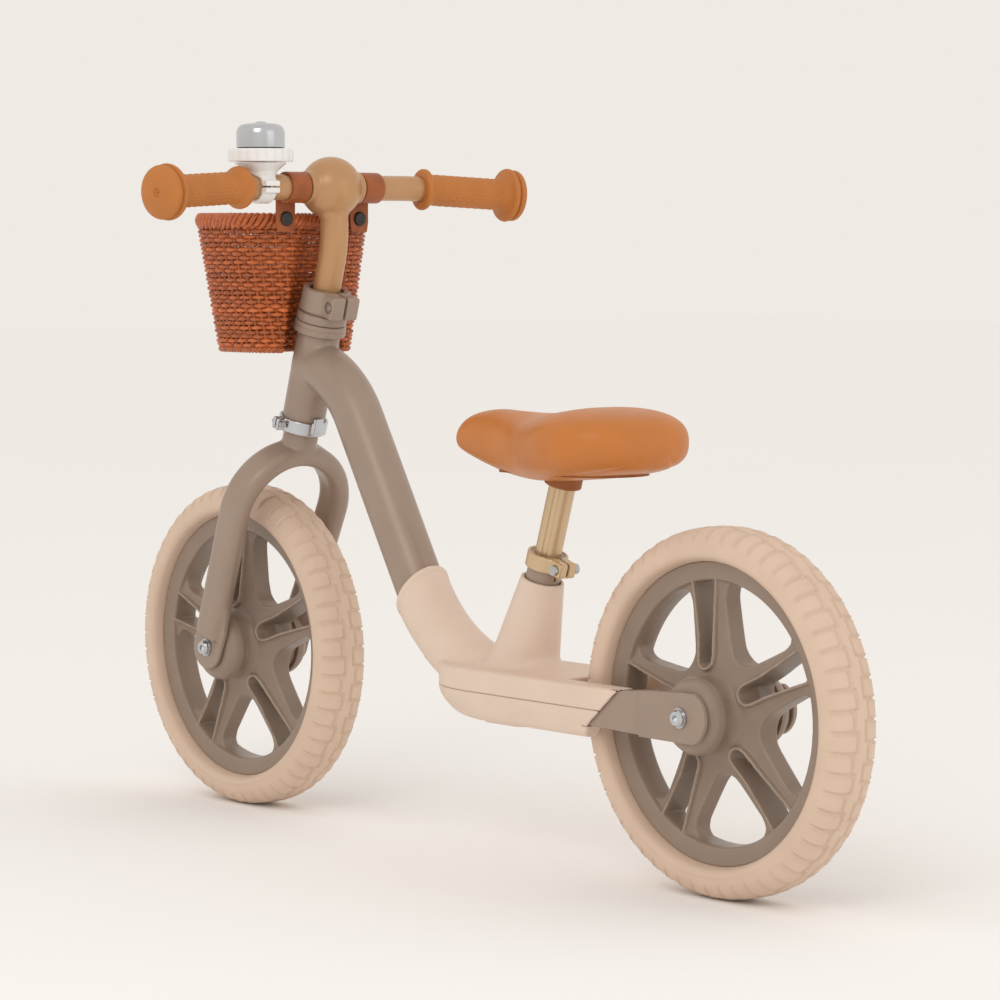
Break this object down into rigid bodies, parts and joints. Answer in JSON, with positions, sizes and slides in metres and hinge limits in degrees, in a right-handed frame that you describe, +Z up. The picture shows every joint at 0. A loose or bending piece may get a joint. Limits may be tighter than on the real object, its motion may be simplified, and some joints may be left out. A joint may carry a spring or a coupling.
{
  "type": "balance bike",
  "caption": "Child's balance bike with foam tyres, V-spoke wheels, footrest, height-adjustable saddle and handlebar, twist bell and hanging wicker basket.",
  "frame": {"origin": "on the ground under the bike's middle plane, midway between the two axles", "axes": "+X the way the bike rolls forward, +Y to the rider's left, +Z up"},
  "size_m": [0.908, 0.4008, 0.6113],
  "materials": {
    "frame_paint": "satin taupe enamel with a light orange-peel",
    "wheel_plastic": "moulded taupe nylon",
    "cover_plastic": "moulded beige plastic",
    "tyre_foam": "cream closed-cell foam",
    "tan_metal": "satin tan enamel",
    "post_metal": "champagne satin",
    "steel": "zinc plated",
    "polished": "polished plating",
    "dark_plastic": "moulded dark brown",
    "saddle_skin": "caramel vinyl, fine grain",
    "grip_rubber": "caramel soft grip",
    "bell_plastic": "white gloss",
    "wicker": "stained and lacquered willow",
    "strap_leather": "chestnut strap leather",
    "stud_black": "black snap caps"
  },
  "bodies": {
    "frame": {"head_tube": "frame_paint", "main_tube": "frame_paint", "seat_tube": "frame_paint", "yoke": "frame_paint", "rear_arm_left": "frame_paint", "rear_arm_right": "frame_paint", "upper_cover": "cover_plastic", "lower_cover": "cover_plastic", "cover_screws": "steel", "headset_cup": "frame_paint", "headset_bushes": "dark_plastic", "seat_clamp": "post_metal", "seat_clamp_bolt": "steel", "rear_axle": "steel", "rear_axle_bolts": "polished", "rear_washers": "steel"},
    "rear_wheel": {"rear_wheel": "wheel_plastic", "rear_tyre": "tyre_foam", "rear_bearings": "steel", "rear_hub_caps": "wheel_plastic"},
    "saddle": {"seat_post": "post_metal", "seat_post_plug": "dark_plastic", "saddle_base": "dark_plastic", "saddle_cushion": "saddle_skin", "saddle_bolts": "steel"},
    "fork": {"fork": "frame_paint", "steerer": "frame_paint", "limiter_ring": "polished", "limiter_screw": "steel", "stem_clamp": "frame_paint", "stem_clamp_bolt": "steel", "front_axle": "steel", "front_axle_bolts": "polished", "front_washers": "steel"},
    "front_wheel": {"front_wheel": "wheel_plastic", "front_tyre": "tyre_foam", "front_bearings": "steel", "front_hub_caps": "wheel_plastic"},
    "handlebar": {"stem_tube": "tan_metal", "stem_head": "tan_metal", "crossbar": "tan_metal", "grip_left": "grip_rubber", "grip_right": "grip_rubber", "bell_clamp": "bell_plastic", "bell_clamp_screw": "steel", "bell_base": "bell_plastic", "bell_spindle": "polished", "bell_dome": "polished", "bell_spring": "steel", "basket": "wicker", "strap_left": "strap_leather", "strap_right": "strap_leather", "strap_studs": "stud_black"},
    "bell_ring": {"bell_ring": "bell_plastic", "bell_clapper": "steel"}
  },
  "joints": [
    {"name": "rear_wheel_spin", "type": "hinge", "parent": "frame", "child": "rear_wheel", "pos_m": [-0.309, 0, 0.145], "axis": [0, 1, 0], "continuous": true},
    {"name": "front_wheel_spin", "type": "hinge", "parent": "fork", "child": "front_wheel", "pos_m": [0.309, 0, 0.145], "axis": [0, 1, 0], "continuous": true},
    {"name": "steer", "type": "hinge", "parent": "frame", "child": "fork", "pos_m": [0.2386, 0, 0.3215], "axis": [-0.284, 0, 0.9588], "range_deg": [-30, 30]},
    {"name": "handlebar_height", "type": "slide", "parent": "fork", "child": "handlebar", "axis": [-0.284, 0, 0.9588], "range_m": [-0.012, 0.04]},
    {"name": "saddle_height", "type": "slide", "parent": "frame", "child": "saddle", "axis": [-0.299, 0, 0.9542], "range_m": [-0.03, 0.05]},
    {"name": "bell_twist", "type": "hinge", "parent": "handlebar", "child": "bell_ring", "pos_m": [0.18924, 0.076, 0.58534], "axis": [0, 0, 1], "range_deg": [0, 40], "stiffness_Nm_per_rad": 0.02}
  ]
}
